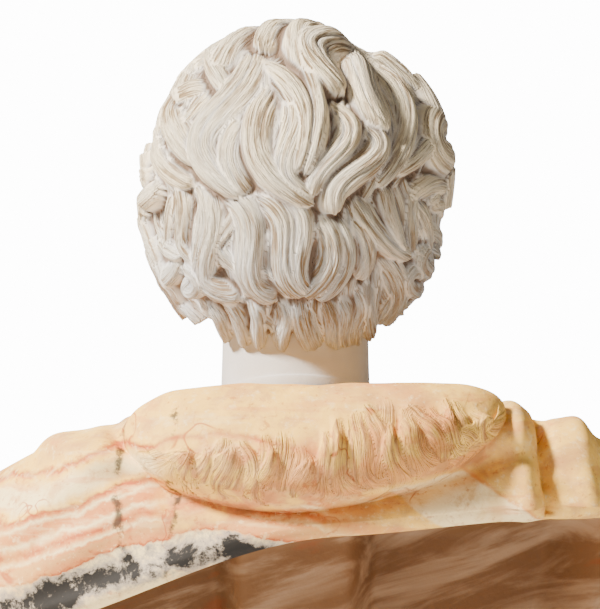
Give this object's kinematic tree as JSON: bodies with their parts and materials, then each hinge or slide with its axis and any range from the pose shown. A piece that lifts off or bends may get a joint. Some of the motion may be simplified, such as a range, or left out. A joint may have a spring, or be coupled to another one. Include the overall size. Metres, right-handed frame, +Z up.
{
  "type": "roman bust",
  "caption": "White marble head with thick curled hair, let into a draped bust of banded coloured marble with a pinned cloak and a hollowed back.",
  "frame": {"origin": "on the flat underside, below the axis of the neck", "axes": "+Z up, -Y the way the face looks, +X the figure's left"},
  "size_m": [0.5785, 0.3132, 0.7021],
  "materials": {
    "white_marble": "honed, with dirt in the carving",
    "banded_marble": "polished, banded cream, tan, salmon and grey"
  },
  "bodies": {
    "root": {"head": "white_marble", "draped_bust": "banded_marble"}
  },
  "joints": []
}
